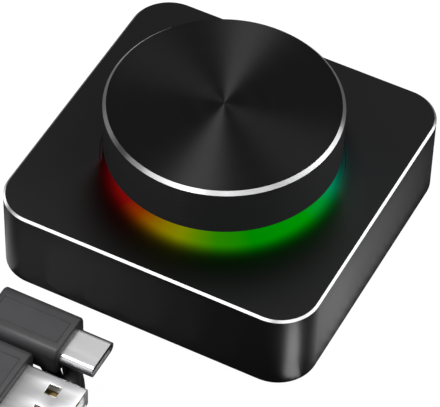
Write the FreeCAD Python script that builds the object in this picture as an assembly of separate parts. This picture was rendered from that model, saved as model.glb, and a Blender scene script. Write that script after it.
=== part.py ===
import FreeCAD, Part
import math
import os

from FreeCAD import Vector

# A desk-top volume knob: a square aluminium housing, a large aluminium knob on a push-and-turn encoder,
# a ring of coloured light round the knob's foot, and the USB lead that comes with it.
# Millimetres. The origin is at the middle of the base on the desk, +Z is up, the USB socket is on +Y.

# Housing
BASE_SIDE = 64.0
BASE_CORNER = 7.75
HOUSING_HEIGHT = 17.6
HOUSING_WALL = 2.5
ROOF = 2.4
TOP_CHAMFER = 0.41
BOTTOM_CHAMFER = 0.3

# Bottom plate, feet and screws
PLATE_THICKNESS = 2.4
PLATE_CLEARANCE = 0.1
FOOT_RADIUS = 4.0
FOOT_THICKNESS = 1.6
FOOT_PROUD = 0.6
FOOT_CLEARANCE = 0.1
FOOT_EDGE = 0.3
SCREW_INSET = 8.0
BOSS_RADIUS = 2.8
SCREW_RADIUS = 1.0
SCREW_LENGTH = 6.5
SCREW_HEAD_RADIUS = 1.8
SCREW_HEAD_HEIGHT = 1.0
SCREW_CLEARANCE = 0.03
RECESS_RADIUS = 0.55
RECESS_DEPTH = 0.6

# Knob
KNOB_RADIUS = 22.35
KNOB_HEIGHT = 10.65
KNOB_GAP = 3.13
KNOB_WALL = 2.0
KNOB_TOP = 2.2
RIM_CHAMFER_WIDTH = 0.635
RIM_CHAMFER_HEIGHT = 0.7
KNOB_FOOT_CHAMFER = 0.3
HUB_RADIUS = 5.5
HUB_FLANGE = 1.5
HUB_CLEARANCE = 0.05
HUB_RIBS = 6
RIB_THICKNESS = 1.2
RIB_DEPTH = 4.0

# Light guide
LIGHT_SHOW = 0.55
LIGHT_CLEARANCE = 0.1
LIGHT_LIP = 1.0
LIGHT_LIP_THICKNESS = 1.4
LIGHT_LIP_WIDTH = 5.4

# Circuit board
BOARD_THICKNESS = 1.6
BOARD_CLEARANCE = 0.4
BOARD_BOSS_RADIUS = 2.5
BOARD_BOSS_OFFSET = 12.0
BOARD_SCREW_LENGTH = 4.5
LED_COUNT = 8
LED_SIDE = 5.0
LED_HEIGHT = 1.6
LED_INSET = 2.4
LED_WINDOW_RADIUS = 2.0
LED_WINDOW_DEPTH = 0.3

# Controller and small parts on the underside of the board
CHIP_SIDE = 7.0
CHIP_HEIGHT = 1.4
CHIP_OFFSET = 14.0
CHIP_PINS_PER_SIDE = 8
CHIP_PIN_PITCH = 0.8
CHIP_PIN_WIDTH = 0.35
CHIP_PIN_REACH = 1.0
CHIP_PIN_THICKNESS = 0.2
CRYSTAL_SIZE = (3.2, 2.5, 0.8)
CRYSTAL_PLACE = (-12.0, -14.0)
REGULATOR_SIZE = (6.5, 3.5, 1.8)
REGULATOR_PLACE = (12.0, 14.0)
CHIP_PART_SIZE = (1.6, 0.8, 0.8)
CHIP_PART_ROW = 5
CHIP_PART_PITCH = 3.0
CAPACITOR_ROW_Y = 9.0
RESISTOR_ROW_Y = -8.6

# USB socket
SOCKET_WIDTH = 8.94
SOCKET_HEIGHT = 3.26
SOCKET_LENGTH = 7.3
SOCKET_SETBACK = 0.4
SOCKET_WALL = 0.3
SOCKET_CLEARANCE = 0.1
TONGUE_WIDTH = 6.7
TONGUE_THICKNESS = 0.7
TONGUE_SETBACK = 0.9
SOCKET_BACK = 1.6
CONTACT_COUNT = 12
CONTACT_PITCH = 0.5
CONTACT_WIDTH = 0.25
CONTACT_THICKNESS = 0.05

# Encoder
ENCODER_HEIGHT = 6.8
ENCODER_X = 12.0
ENCODER_Y = 11.4
FRAME_SHEET = 0.5
FLANGE_THICKNESS = 2.3
BUSHING_RADIUS = 3.5
BUSHING_RISE = 2.8
BUSHING_CLEARANCE = 0.1
WASHER_RADIUS = 5.5
WASHER_THICKNESS = 0.4
NUT_ACROSS_FLATS = 10.0
NUT_THICKNESS = 1.8
NUT_CLEARANCE = 0.02
SHAFT_RADIUS = 3.0
SHAFT_CLEARANCE = 0.05
SHAFT_FLAT = 1.5
SHAFT_END_GAP = 0.3
STEM_RADIUS = 2.0
STEM_FLAT = 0.6
ROTOR_RADIUS = 4.5
ROTOR_THICKNESS = 1.3
ROTOR_GAP = 0.1
ROTOR_POCKET_GAP = 0.3
DETENT_THICKNESS = 0.2
DETENT_WIDTH = 1.1
PRESS_TRAVEL = 0.5
DOME_RADIUS = 2.3
DOME_HEIGHT = 0.55
DOME_SHEET = 0.12
DOME_CLEARANCE = 0.3
PLUNGER_RADIUS = 2.1
PLUNGER_THICKNESS = 0.6
PLUNGER_GAP = 0.05
ENCODER_FLOOR = 0.6
STEM_LIFT = 0.1
TERMINAL_WIDTH = 0.9
TERMINAL_SHEET = 0.3
TERMINAL_LENGTH = 2.4
TERMINAL_PITCH = 2.5
TERMINAL_CLEARANCE = 0.15
LUG_WIDTH = 2.0

# USB lead, laid in a tied hank in front of the housing
CABLE_DIAMETER = 3.2
HANK_LENGTH = 100.0
HANK_WIDTH = 42.0
HANK_WAIST = 25.0
HANK_BUNDLE = 7.0
HANK_ROUNDING = 3.0
HANK_GAP = 7.0
HANK_CENTRE_X = -48.0
TIE_OFFSET = -4.0
TIE_WIDTH = 2.0
TIE_SPACING = 4.0
TIE_THICKNESS = 0.8

# Plugs on the lead
PLUG_SEAT = 0.1
C_SHELL_WIDTH = 8.25
C_SHELL_HEIGHT = 2.4
C_SHELL_LENGTH = 6.65
C_SHELL_WALL = 0.3
C_SLOT_WIDTH = 6.9
C_SLOT_HEIGHT = 0.8
C_BODY_LENGTH = 16.0
C_BODY_WIDTH = 10.6
C_BODY_HEIGHT = 6.3
C_RELIEF_LENGTH = 11.0
C_TIP_OFFSET = 49.0
C_SIDE_OFFSET = 11.8
A_SHELL_WIDTH = 12.0
A_SHELL_HEIGHT = 4.5
A_SHELL_LENGTH = 12.0
A_SHELL_WALL = 0.3
A_WINDOW = 2.4
A_WINDOW_PITCH = 5.2
A_WINDOW_SETBACK = 5.2
A_TONGUE_HEIGHT = 1.9
A_TONGUE_SETBACK = 0.6
A_CONTACTS = 4
A_CONTACT_PITCH = 2.4
A_CONTACT_WIDTH = 1.1
A_CONTACT_LENGTH = 7.5
A_BODY_LENGTH = 17.0
A_BODY_WIDTH = 15.5
A_BODY_HEIGHT = 7.8
A_RELIEF_LENGTH = 8.0
A_TIP_OFFSET = 50.4
A_SIDE_OFFSET = -2.0
BODY_ROUNDING = 1.6
RELIEF_START = 2.9
RELIEF_END = 2.1

# The two free stretches of the lead: from inside the tied bundle to the plug's strain relief.
# Each point is measured from the hank's centre on the desk.
C_TAIL = [(-8.0, 9.4, 3.8), (-2.0, 9.6, 4.0), (3.5, 10.4, 5.9), (8.0, 11.1, 8.4), (12.0, 11.7, 9.9)]
A_TAIL = [(-10.5, -9.2, 3.5), (-5.0, -8.4, 3.7), (0.0, -6.9, 4.4), (4.5, -4.6, 6.9), (9.0, -2.6, 8.8)]

# Heights that follow from the sizes above
HALF = BASE_SIDE / 2
HOUSING_BOTTOM = FOOT_PROUD
HOUSING_TOP = HOUSING_BOTTOM + HOUSING_HEIGHT
ROOF_UNDER = HOUSING_TOP - ROOF
PLATE_TOP = HOUSING_BOTTOM + PLATE_THICKNESS
BOARD_TOP = ROOF_UNDER - ENCODER_HEIGHT
BOARD_UNDER = BOARD_TOP - BOARD_THICKNESS
KNOB_BOTTOM = HOUSING_TOP + KNOB_GAP
KNOB_UPPER = KNOB_BOTTOM + KNOB_HEIGHT
CAP_UNDER = KNOB_UPPER - KNOB_TOP
INNER_SIDE = BASE_SIDE - 2 * HOUSING_WALL
INNER_CORNER = BASE_CORNER - HOUSING_WALL
LIGHT_RADIUS = KNOB_RADIUS + LIGHT_SHOW
SCREW_PLACE = HALF - SCREW_INSET
BOARD_BOSS_X = HALF - HOUSING_WALL - BOARD_BOSS_RADIUS
LED_RING = LIGHT_RADIUS - LED_INSET
HANK_CENTRE_Y = -(HALF + HANK_GAP + HANK_WIDTH / 2)

SQUARE = [(1, 1), (-1, 1), (-1, -1), (1, -1)]
UP = Vector(0, 0, 1)
ALONG_X = Vector(1, 0, 0)
ALONG_Y = Vector(0, 1, 0)


def save(name, *solids):
    """Write one named sub-part as a STEP file."""
    for solid in solids:
        if not solid.isValid() or solid.Volume <= 0:
            raise ValueError(f"{name} holds a solid that is not valid")
    shape = solids[0] if len(solids) == 1 else Part.makeCompound(list(solids))
    shape.exportStep(f"parts/{name}.step")


def single(shape):
    """The one solid that a cut or a join has left."""
    solids = shape.Solids
    if len(solids) != 1:
        raise ValueError(f"expected one solid, found {len(solids)}")
    return solids[0]


def joined(first, *others):
    """Solids that are made in one piece."""
    return single(first.fuse(list(others)).removeSplitter())


def carved(solid, *tools):
    """A solid with every one of the tools taken out of it."""
    return single(solid.cut(list(tools)))


def block(width, depth, height, centre, bottom):
    """An upright box, by the middle of its footprint and the height of its underside."""
    corner = Vector(centre[0] - width / 2, centre[1] - depth / 2, bottom)
    return Part.makeBox(width, depth, height, corner)


def rod(radius, bottom, top, centre=(0.0, 0.0)):
    """An upright round bar."""
    return Part.makeCylinder(radius, top - bottom, Vector(centre[0], centre[1], bottom), UP)


def ring(outer, inner, bottom, top, centre=(0.0, 0.0)):
    """An upright round tube."""
    return carved(rod(outer, bottom, top, centre), rod(inner, bottom, top, centre))


def rounded_block(side, corner, bottom, top):
    """A square prism with rounded upright corners, centred on the axis."""
    solid = block(side, side, top - bottom, (0, 0), bottom)
    upright = [e for e in solid.Edges if abs(e.tangentAt(e.FirstParameter).z) > 0.99]
    return solid.makeFillet(corner, upright)


def edges_at(solid, height):
    """All edges of a solid that lie flat at one height."""
    return [e for e in solid.Edges if abs(e.BoundBox.ZMin - height) + abs(e.BoundBox.ZMax - height) < 1e-4]


def long_slot(width, height, start, length, centre, direction):
    """A bar with round sides, such as a USB-C shell, that runs along X or Y from its start."""
    radius = height / 2
    reach = width / 2 - radius
    across = ALONG_Y if direction is ALONG_X else ALONG_X
    middle = direction * start + across * centre[0] + UP * centre[1]
    sides = [Part.makeCylinder(radius, length, middle + across * (reach * side), direction) for side in (-1, 1)]
    size = direction * length + across * (2 * reach)
    web = Part.makeBox(size.x, size.y, height, middle - across * reach - UP * radius)
    return joined(web, *sides)


def flatted(solid, radius, depth, bottom, top):
    """A round bar with one side cut flat to a depth between two heights, so that it drives a D-shaped hole."""
    return carved(solid, block(2 * radius, 2 * radius, top - bottom, (2 * radius - depth, 0), bottom))


# ---------------------------------------------------------------- housing and bottom

def housing():
    """Milled shell, open below, with screw bosses, a round hole for the light guide and a socket hole."""
    shell = rounded_block(BASE_SIDE, BASE_CORNER, HOUSING_BOTTOM, HOUSING_TOP)
    shell = shell.makeChamfer(TOP_CHAMFER, edges_at(shell, HOUSING_TOP))
    shell = shell.makeChamfer(BOTTOM_CHAMFER, edges_at(shell, HOUSING_BOTTOM))
    shell = carved(shell, rounded_block(INNER_SIDE, INNER_CORNER, HOUSING_BOTTOM, ROOF_UNDER))
    bosses = []
    holes = [rod(LIGHT_RADIUS + LIGHT_CLEARANCE, ROOF_UNDER, HOUSING_TOP), socket_hole()]
    for x, y in SQUARE:
        corner = (x * SCREW_PLACE, y * SCREW_PLACE)
        bosses.append(rod(BOSS_RADIUS, PLATE_TOP, ROOF_UNDER, corner))
        holes.append(rod(SCREW_RADIUS + SCREW_CLEARANCE, PLATE_TOP, screw_tip() + SCREW_RADIUS, corner))
        side = (x * BOARD_BOSS_X, y * BOARD_BOSS_OFFSET)
        web = (x * (BOARD_BOSS_X + BOARD_BOSS_RADIUS / 2), side[1])
        rise = ROOF_UNDER - BOARD_TOP
        bosses.append(rod(BOARD_BOSS_RADIUS, BOARD_TOP, ROOF_UNDER, side))
        bosses.append(block(BOARD_BOSS_RADIUS, 2 * BOARD_BOSS_RADIUS, rise, web, BOARD_TOP))
        tip = BOARD_TOP + BOARD_SCREW_LENGTH
        holes.append(rod(SCREW_RADIUS + SCREW_CLEARANCE, BOARD_TOP, tip, side))
    return carved(joined(shell, *bosses), *holes)


def socket_centre():
    """Height of the middle of the USB socket."""
    return BOARD_TOP + SOCKET_HEIGHT / 2


def socket_hole():
    """The hole in the rear wall that the USB socket shows through."""
    width = SOCKET_WIDTH + 2 * SOCKET_CLEARANCE
    height = SOCKET_HEIGHT + 2 * SOCKET_CLEARANCE
    start = HALF - HOUSING_WALL
    return long_slot(width, height, start, HOUSING_WALL, (0, socket_centre()), ALONG_Y)


def foot_seat():
    """Height of the floor of the pocket that a foot is stuck into."""
    return FOOT_THICKNESS


def screw_tip():
    """Height of the upper end of the bottom plate's screws."""
    return foot_seat() + SCREW_LENGTH


def bottom_plate():
    """Moulded plate that closes the housing, with pockets that hide its screws under the feet."""
    side = INNER_SIDE - 2 * PLATE_CLEARANCE
    plate = rounded_block(side, INNER_CORNER - PLATE_CLEARANCE, HOUSING_BOTTOM, PLATE_TOP)
    cuts = []
    for x, y in SQUARE:
        place = (x * SCREW_PLACE, y * SCREW_PLACE)
        cuts.append(rod(FOOT_RADIUS + FOOT_CLEARANCE, HOUSING_BOTTOM, foot_seat(), place))
        cuts.append(rod(SCREW_RADIUS + SCREW_CLEARANCE, foot_seat(), PLATE_TOP, place))
        cuts.append(screw_head(place, foot_seat(), 1, SCREW_CLEARANCE))
    return carved(plate, *cuts)


def screw_head(place, face, sense, grown=0.0):
    """Countersunk head that narrows from its face, upwards for sense 1."""
    wide = SCREW_HEAD_RADIUS + grown
    narrow = SCREW_RADIUS + grown
    return Part.makeCone(wide, narrow, SCREW_HEAD_HEIGHT, Vector(place[0], place[1], face), UP * sense)


def cross_recess(place, bottom):
    """Socket for the screwdriver."""
    return rod(RECESS_RADIUS, bottom, bottom + RECESS_DEPTH, place)


def plate_screw(place):
    """Countersunk screw that holds the bottom plate to the housing."""
    shank = rod(SCREW_RADIUS, foot_seat(), screw_tip(), place)
    screw = joined(shank, screw_head(place, foot_seat(), 1))
    return carved(screw, cross_recess(place, foot_seat()))


def board_screw(place):
    """Round-headed screw that holds the board up against its boss."""
    head_bottom = BOARD_UNDER - SCREW_HEAD_HEIGHT
    head = rod(SCREW_HEAD_RADIUS, head_bottom, BOARD_UNDER, place)
    shank = rod(SCREW_RADIUS, BOARD_UNDER, BOARD_TOP + BOARD_SCREW_LENGTH - SCREW_RADIUS, place)
    return carved(joined(head, shank), cross_recess(place, head_bottom))


def foot(place):
    """Round rubber foot, stuck into its pocket."""
    solid = rod(FOOT_RADIUS, 0.0, foot_seat(), place)
    return solid.makeChamfer(FOOT_EDGE, edges_at(solid, 0.0))


# ---------------------------------------------------------------- light guide and board

def light_guide():
    """Smoked plastic disc that fills the round hole, with a lip that is glued under the roof."""
    disc = rod(LIGHT_RADIUS, ROOF_UNDER, HOUSING_TOP)
    lip_outer = LIGHT_RADIUS + LIGHT_LIP
    lip = ring(lip_outer, lip_outer - LIGHT_LIP_WIDTH, ROOF_UNDER - LIGHT_LIP_THICKNESS, ROOF_UNDER)
    bore = rod(BUSHING_RADIUS + BUSHING_CLEARANCE, ROOF_UNDER, HOUSING_TOP)
    return carved(joined(disc, lip), bore)


def terminal_places():
    """Middles of the encoder's five terminals: three for turning, two for pressing."""
    places = [(i * TERMINAL_PITCH, -ENCODER_Y / 2 + TERMINAL_SHEET) for i in (-1, 0, 1)]
    places += [(i * TERMINAL_PITCH, ENCODER_Y / 2 - TERMINAL_SHEET) for i in (-1, 1)]
    return places


def lug_places():
    """Middles of the two lugs of the encoder's frame that go through the board."""
    return [(x * (ENCODER_X + FRAME_SHEET) / 2, 0.0) for x in (-1, 1)]


def main_board():
    """Circuit board, with its corners cut back for the housing's bosses."""
    side = INNER_SIDE - 2 * BOARD_CLEARANCE
    board = block(side, side, BOARD_THICKNESS, (0, 0), BOARD_UNDER)
    notch = SCREW_INSET - HOUSING_WALL + BOSS_RADIUS + BOARD_CLEARANCE
    edge = HALF - HOUSING_WALL
    cuts = []
    for x, y in SQUARE:
        corner = (x * (edge - notch / 2), y * (edge - notch / 2))
        cuts.append(block(notch, notch, BOARD_THICKNESS, corner, BOARD_UNDER))
        side_boss = (x * BOARD_BOSS_X, y * BOARD_BOSS_OFFSET)
        cuts.append(rod(SCREW_RADIUS + SCREW_CLEARANCE, BOARD_UNDER, BOARD_TOP, side_boss))
    for place in terminal_places():
        cuts.append(rod(TERMINAL_WIDTH / 2 + TERMINAL_CLEARANCE, BOARD_UNDER, BOARD_TOP, place))
    for place in lug_places():
        slot = (FRAME_SHEET + 2 * TERMINAL_CLEARANCE, LUG_WIDTH + 2 * TERMINAL_CLEARANCE)
        cuts.append(block(slot[0], slot[1], BOARD_THICKNESS, place, BOARD_UNDER))
    return carved(board, *cuts)


def led(index):
    """One square lamp of the ring, with its round window. None stands in line with the USB socket."""
    solid = block(LED_SIDE, LED_SIDE, LED_HEIGHT, (LED_RING, 0), BOARD_TOP)
    window = rod(LED_WINDOW_RADIUS, BOARD_TOP + LED_HEIGHT - LED_WINDOW_DEPTH, BOARD_TOP + LED_HEIGHT, (LED_RING, 0))
    solid = carved(solid, window)
    solid.rotate(Vector(0, 0, 0), UP, (index + 0.5) * 360 / LED_COUNT)
    return solid


def hung(size, place):
    """A small part on the underside of the board."""
    return block(size[0], size[1], size[2], place, BOARD_UNDER - size[2])


def chip_pins():
    """The pins of the controller, in a row along each of its four sides."""
    pins = []
    reach = CHIP_SIDE / 2 + CHIP_PIN_REACH / 2
    first = -(CHIP_PINS_PER_SIDE - 1) / 2 * CHIP_PIN_PITCH
    for quarter in range(4):
        for i in range(CHIP_PINS_PER_SIDE):
            size = (CHIP_PIN_REACH, CHIP_PIN_WIDTH, CHIP_PIN_THICKNESS)
            pin = block(size[0], size[1], size[2], (reach, first + i * CHIP_PIN_PITCH), BOARD_UNDER - size[2])
            pin.rotate(Vector(0, 0, 0), UP, quarter * 90)
            pin.translate(Vector(0, -CHIP_OFFSET, 0))
            pins.append(pin)
    return pins


def part_row(height_y):
    """A row of small two-ended parts."""
    first = -(CHIP_PART_ROW - 1) / 2 * CHIP_PART_PITCH
    return [hung(CHIP_PART_SIZE, (first + i * CHIP_PART_PITCH, height_y)) for i in range(CHIP_PART_ROW)]


# ---------------------------------------------------------------- USB socket

SOCKET_MOUTH = HALF - SOCKET_SETBACK
SOCKET_REAR = SOCKET_MOUTH - SOCKET_LENGTH


def socket_shell():
    """Folded metal tube, closed at the back."""
    outer = long_slot(SOCKET_WIDTH, SOCKET_HEIGHT, SOCKET_REAR, SOCKET_LENGTH, (0, socket_centre()), ALONG_Y)
    inner_width = SOCKET_WIDTH - 2 * SOCKET_WALL
    inner_height = SOCKET_HEIGHT - 2 * SOCKET_WALL
    start = SOCKET_REAR + SOCKET_WALL
    inner = long_slot(inner_width, inner_height, start, SOCKET_LENGTH, (0, socket_centre()), ALONG_Y)
    return carved(outer, inner)


def socket_tongue():
    """Moulded block at the back of the socket, with the thin tongue that carries the contacts."""
    inner_width = SOCKET_WIDTH - 2 * SOCKET_WALL
    inner_height = SOCKET_HEIGHT - 2 * SOCKET_WALL
    start = SOCKET_REAR + SOCKET_WALL
    back = long_slot(inner_width, inner_height, start, SOCKET_BACK, (0, socket_centre()), ALONG_Y)
    reach = SOCKET_MOUTH - TONGUE_SETBACK - start
    bottom = socket_centre() - TONGUE_THICKNESS / 2
    blade = block(TONGUE_WIDTH, reach, TONGUE_THICKNESS, (0, start + reach / 2), bottom)
    return joined(back, blade)


def socket_contacts():
    """Gold strips on both faces of the tongue."""
    strips = []
    start = SOCKET_REAR + SOCKET_WALL + SOCKET_BACK
    reach = SOCKET_MOUTH - 2 * TONGUE_SETBACK - start
    first = -(CONTACT_COUNT - 1) / 2 * CONTACT_PITCH
    faces = (TONGUE_THICKNESS / 2, -TONGUE_THICKNESS / 2 - CONTACT_THICKNESS)
    for face in faces:
        for i in range(CONTACT_COUNT):
            place = (first + i * CONTACT_PITCH, start + reach / 2)
            strips.append(block(CONTACT_WIDTH, reach, CONTACT_THICKNESS, place, socket_centre() + face))
    return strips


# ---------------------------------------------------------------- encoder

FRAME_TOP = ROOF_UNDER
FLANGE_TOP = FRAME_TOP - FRAME_SHEET
FLANGE_UNDER = FLANGE_TOP - FLANGE_THICKNESS
BUSHING_TOP = HOUSING_TOP + BUSHING_RISE
ENCODER_WELL = BOARD_TOP + ENCODER_FLOOR
DOME_TOP = ENCODER_WELL + DOME_HEIGHT
PLUNGER_BOTTOM = DOME_TOP + PLUNGER_GAP
PLUNGER_TOP = PLUNGER_BOTTOM + PLUNGER_THICKNESS
STEM_BOTTOM = PLUNGER_TOP + PLUNGER_GAP
ROTOR_TOP = FLANGE_UNDER - DETENT_THICKNESS - ROTOR_GAP
ROTOR_BOTTOM = ROTOR_TOP - ROTOR_THICKNESS
SHOULDER = FLANGE_UNDER + PRESS_TRAVEL + STEM_LIFT
SHAFT_TOP = CAP_UNDER - SHAFT_END_GAP
FLAT_BOTTOM = BUSHING_TOP + PRESS_TRAVEL


def encoder_base():
    """Moulded base: a wide pocket for the rotor above a small well for the press switch."""
    solid = block(ENCODER_X, ENCODER_Y, FLANGE_UNDER - BOARD_TOP, (0, 0), BOARD_TOP)
    pocket = rod(ROTOR_RADIUS + ROTOR_POCKET_GAP, ROTOR_BOTTOM - ROTOR_GAP, FLANGE_UNDER)
    well = rod(DOME_RADIUS + DOME_CLEARANCE, ENCODER_WELL, ROTOR_BOTTOM)
    return carved(solid, pocket, well)


def encoder_bushing():
    """Die-cast flange and threaded neck that the shaft turns in."""
    flange = block(ENCODER_X, ENCODER_Y, FLANGE_THICKNESS, (0, 0), FLANGE_UNDER)
    neck = rod(BUSHING_RADIUS, FLANGE_UNDER, BUSHING_TOP)
    bore = rod(SHAFT_RADIUS + SHAFT_CLEARANCE, FLANGE_UNDER, BUSHING_TOP)
    return carved(joined(flange, neck), bore)


def encoder_frame():
    """Bent sheet-metal bracket that clamps the flange to the base, with a lug through the board each side."""
    width = ENCODER_X + 2 * FRAME_SHEET
    plate = block(width, ENCODER_Y, FRAME_SHEET, (0, 0), FLANGE_TOP)
    pieces = []
    for place in lug_places():
        pieces.append(block(FRAME_SHEET, ENCODER_Y, FLANGE_TOP - BOARD_TOP, place, BOARD_TOP))
        depth = BOARD_THICKNESS + TERMINAL_SHEET
        pieces.append(block(FRAME_SHEET, LUG_WIDTH, depth, place, BOARD_TOP - depth))
    neck = rod(BUSHING_RADIUS + NUT_CLEARANCE, FLANGE_TOP, FRAME_TOP)
    return carved(joined(plate, *pieces), neck)


def washer():
    """Flat washer on the light guide, under the nut."""
    return ring(WASHER_RADIUS, BUSHING_RADIUS + NUT_CLEARANCE, HOUSING_TOP, HOUSING_TOP + WASHER_THICKNESS)


def nut():
    """Thin hexagon nut on the bushing."""
    radius = NUT_ACROSS_FLATS / math.sqrt(3)
    bottom = HOUSING_TOP + WASHER_THICKNESS
    corners = []
    for i in range(7):
        turn = math.radians(60 * i)
        corners.append(Vector(radius * math.cos(turn), radius * math.sin(turn), bottom))
    prism = Part.Face(Part.makePolygon(corners)).extrude(UP * NUT_THICKNESS)
    return carved(prism, rod(BUSHING_RADIUS + NUT_CLEARANCE, bottom, bottom + NUT_THICKNESS))


def terminals():
    """Five flat terminals that run down through the board."""
    depth = TERMINAL_LENGTH
    return [block(TERMINAL_WIDTH, TERMINAL_SHEET, depth, p, BOARD_TOP - depth) for p in terminal_places()]


def encoder_shaft():
    """Steel shaft: round in the bushing, flat on one side in the knob, with a thin stem down to the switch."""
    upper = rod(SHAFT_RADIUS, SHOULDER, SHAFT_TOP)
    upper = flatted(upper, SHAFT_RADIUS, SHAFT_FLAT, FLAT_BOTTOM, SHAFT_TOP)
    stem = rod(STEM_RADIUS, STEM_BOTTOM, SHOULDER)
    stem = flatted(stem, STEM_RADIUS, STEM_FLAT, STEM_BOTTOM, SHOULDER)
    return joined(upper, stem)


def encoder_rotor():
    """Code wheel that the stem turns but slides through."""
    disc = rod(ROTOR_RADIUS, ROTOR_BOTTOM, ROTOR_TOP)
    radius = STEM_RADIUS + SHAFT_CLEARANCE
    hole = flatted(rod(radius, ROTOR_BOTTOM, ROTOR_TOP), radius, STEM_FLAT, ROTOR_BOTTOM, ROTOR_TOP)
    return carved(disc, hole)


def detent_spring():
    """Thin spring ring that gives the knob its clicks."""
    outer = ROTOR_RADIUS + ROTOR_POCKET_GAP
    return ring(outer, outer - DETENT_WIDTH, FLANGE_UNDER - DETENT_THICKNESS, FLANGE_UNDER)


def switch_dome():
    """Snap dome under the shaft: a thin bowl standing on its rim."""
    sphere_radius = (DOME_RADIUS ** 2 + DOME_HEIGHT ** 2) / (2 * DOME_HEIGHT)
    centre = Vector(0, 0, ENCODER_WELL + DOME_HEIGHT - sphere_radius)
    bowl = Part.makeSphere(sphere_radius, centre).cut(Part.makeSphere(sphere_radius - DOME_SHEET, centre))
    return single(bowl.common(rod(DOME_RADIUS, ENCODER_WELL, DOME_TOP)))


# ---------------------------------------------------------------- knob

def knob_cap():
    """Turned aluminium cap with a bright bevel round its top."""
    cap = rod(KNOB_RADIUS, KNOB_BOTTOM, KNOB_UPPER)
    bevel_bottom = KNOB_UPPER - RIM_CHAMFER_HEIGHT
    rim = KNOB_RADIUS - RIM_CHAMFER_WIDTH
    bevel = Part.makeCone(KNOB_RADIUS, rim, RIM_CHAMFER_HEIGHT, Vector(0, 0, bevel_bottom), UP)
    edge = carved(rod(KNOB_RADIUS, bevel_bottom, KNOB_UPPER), bevel)
    cap = carved(cap, edge, rod(KNOB_RADIUS - KNOB_WALL, KNOB_BOTTOM, CAP_UNDER))
    lower = [e for e in edges_at(cap, KNOB_BOTTOM) if e.Curve.Radius > KNOB_RADIUS - KNOB_WALL / 2]
    return cap.makeChamfer(KNOB_FOOT_CHAMFER, lower)


def knob_hub():
    """Moulded insert glued in the cap: a flange, ribs and the boss that grips the shaft."""
    outer = KNOB_RADIUS - KNOB_WALL - HUB_CLEARANCE
    flange_bottom = CAP_UNDER - HUB_FLANGE
    boss_bottom = FLAT_BOTTOM + PRESS_TRAVEL
    pieces = [rod(HUB_RADIUS, boss_bottom, CAP_UNDER)]
    for i in range(HUB_RIBS):
        reach = outer - HUB_RADIUS / 2
        rib = block(reach, RIB_THICKNESS, RIB_DEPTH, (HUB_RADIUS / 2 + reach / 2, 0), flange_bottom - RIB_DEPTH)
        rib.rotate(Vector(0, 0, 0), UP, i * 360 / HUB_RIBS)
        pieces.append(rib)
    body = joined(rod(outer, flange_bottom, CAP_UNDER), *pieces)
    body = single(body.common(rod(outer, boss_bottom, CAP_UNDER)))
    hole = flatted(rod(SHAFT_RADIUS, boss_bottom, SHAFT_TOP), SHAFT_RADIUS, SHAFT_FLAT, boss_bottom, SHAFT_TOP)
    return carved(body, hole)


# ---------------------------------------------------------------- USB lead

def bone_outline(width, waist, end_centre, height):
    """Closed outline like a bone: two round ends joined by two inward curves."""
    end_radius = width / 2
    half_waist = waist / 2
    hollow = (end_centre ** 2 + half_waist ** 2 - end_radius ** 2) / (2 * (end_radius - half_waist))
    rise = half_waist + hollow
    share = end_radius / (end_radius + hollow)
    touch = (end_centre * (1 - share), rise * share)
    points = {}
    for x, y in SQUARE:
        points[x, y] = Vector(x * touch[0], y * touch[1], height)
    edges = []
    for sign in (1, -1):
        tip = Vector(sign * (end_centre + end_radius), 0, height)
        edges.append(Part.Arc(points[sign, -sign], tip, points[sign, sign]).toShape())
        middle = Vector(0, sign * half_waist, height)
        edges.append(Part.Arc(points[sign, sign], middle, points[-sign, sign]).toShape())
    return Part.Face(Part.Wire(edges))


def tie_band(offset, margin=0.0):
    """One turn of the band that ties the hank, round both bundles."""
    outer_width = HANK_WAIST + 2 * margin
    inner_width = HANK_WAIST - 2 * TIE_THICKNESS
    place = (TIE_OFFSET + offset, 0)
    outer = block(TIE_WIDTH, outer_width, HANK_BUNDLE + margin, place, 0.0)
    inner_height = HANK_BUNDLE - 2 * TIE_THICKNESS
    return carved(outer, block(TIE_WIDTH, inner_width, inner_height, place, TIE_THICKNESS))


def at_hank(shape):
    """Move a shape from the hank's own centre to where the hank lies."""
    shape.translate(Vector(HANK_CENTRE_X, HANK_CENTRE_Y, 0))
    return shape


def hank_and_tie():
    """The coiled turns of the lead as one soft solid, and the band sunk into their waist."""
    end_centre = (HANK_LENGTH - HANK_WIDTH) / 2
    outer = bone_outline(HANK_WIDTH, HANK_WAIST, end_centre, 0.0)
    inner = bone_outline(HANK_WIDTH - 2 * HANK_BUNDLE, HANK_WAIST - 2 * HANK_BUNDLE, end_centre, 0.0)
    hank = single(outer.cut(inner).extrude(UP * HANK_BUNDLE))
    rims = edges_at(hank, 0.0) + edges_at(hank, HANK_BUNDLE)
    hank = hank.makeFillet(HANK_ROUNDING, rims)
    bands = [tie_band(side * TIE_SPACING / 2) for side in (-1, 1)]
    grooves = [tie_band(side * TIE_SPACING / 2, TIE_THICKNESS) for side in (-1, 1)]
    return at_hank(carved(hank, *grooves)), [at_hank(band) for band in bands]


def smooth_path(points):
    """Straight runs joined by tangent arcs as large as their runs allow; the radii come back with it."""
    edges = []
    radii = []
    start = points[0]
    for before, corner, after in zip(points, points[1:], points[2:]):
        back = before - corner
        ahead = after - corner
        shorter = min(back.Length, ahead.Length)
        turn = math.pi - back.getAngle(ahead)
        trim = 0.45 * shorter
        radius = trim / math.tan(turn / 2)
        radii.append(radius)
        back.normalize()
        ahead.normalize()
        first = corner + back * trim
        last = corner + ahead * trim
        inward = back + ahead
        inward.normalize()
        centre_reach = radius / math.cos(turn / 2)
        middle = corner + inward * (centre_reach - radius)
        edges.append(Part.LineSegment(start, first).toShape())
        edges.append(Part.Arc(first, middle, last).toShape())
        start = last
    edges.append(Part.LineSegment(start, points[-1]).toShape())
    return Part.Wire(edges), radii


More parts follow.
